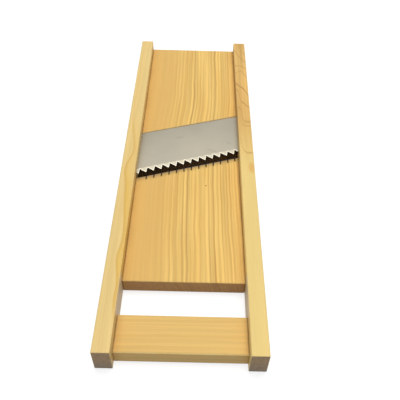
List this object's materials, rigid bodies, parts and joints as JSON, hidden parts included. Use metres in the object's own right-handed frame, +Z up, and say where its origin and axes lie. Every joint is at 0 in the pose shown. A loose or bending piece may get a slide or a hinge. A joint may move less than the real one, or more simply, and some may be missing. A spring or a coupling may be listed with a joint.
{
  "type": "vegetable slicer board",
  "caption": "Wooden board slicer for vegetables: two rails, two bed boards, a crossbar and a skewed saw-toothed steel blade over a narrow throat.",
  "frame": {"origin": "middle of the flat underside, under the centre of the whole board", "axes": "+Y along the rails from the crossbar end to the far end of the upper bed, +X across the board to the right rail, +Z up out of the beds"},
  "size_m": [0.101, 0.33, 0.0197],
  "materials": {
    "rail_wood": "planed pale softwood, bare",
    "bed_wood": "planed honey-coloured softwood, straight fine grain, bare",
    "blade_steel": "satin, fine scratches, ground tooth bevel",
    "nail_steel": "bright wire nail, slightly dulled"
  },
  "bodies": {
    "root": {"left_rail": "rail_wood", "right_rail": "rail_wood", "upper_bed": "bed_wood", "lower_bed": "bed_wood", "crossbar": "bed_wood", "blade": "blade_steel", "upper_bed_nails": "nail_steel", "lower_bed_nails": "nail_steel", "crossbar_nails": "nail_steel"}
  },
  "joints": []
}
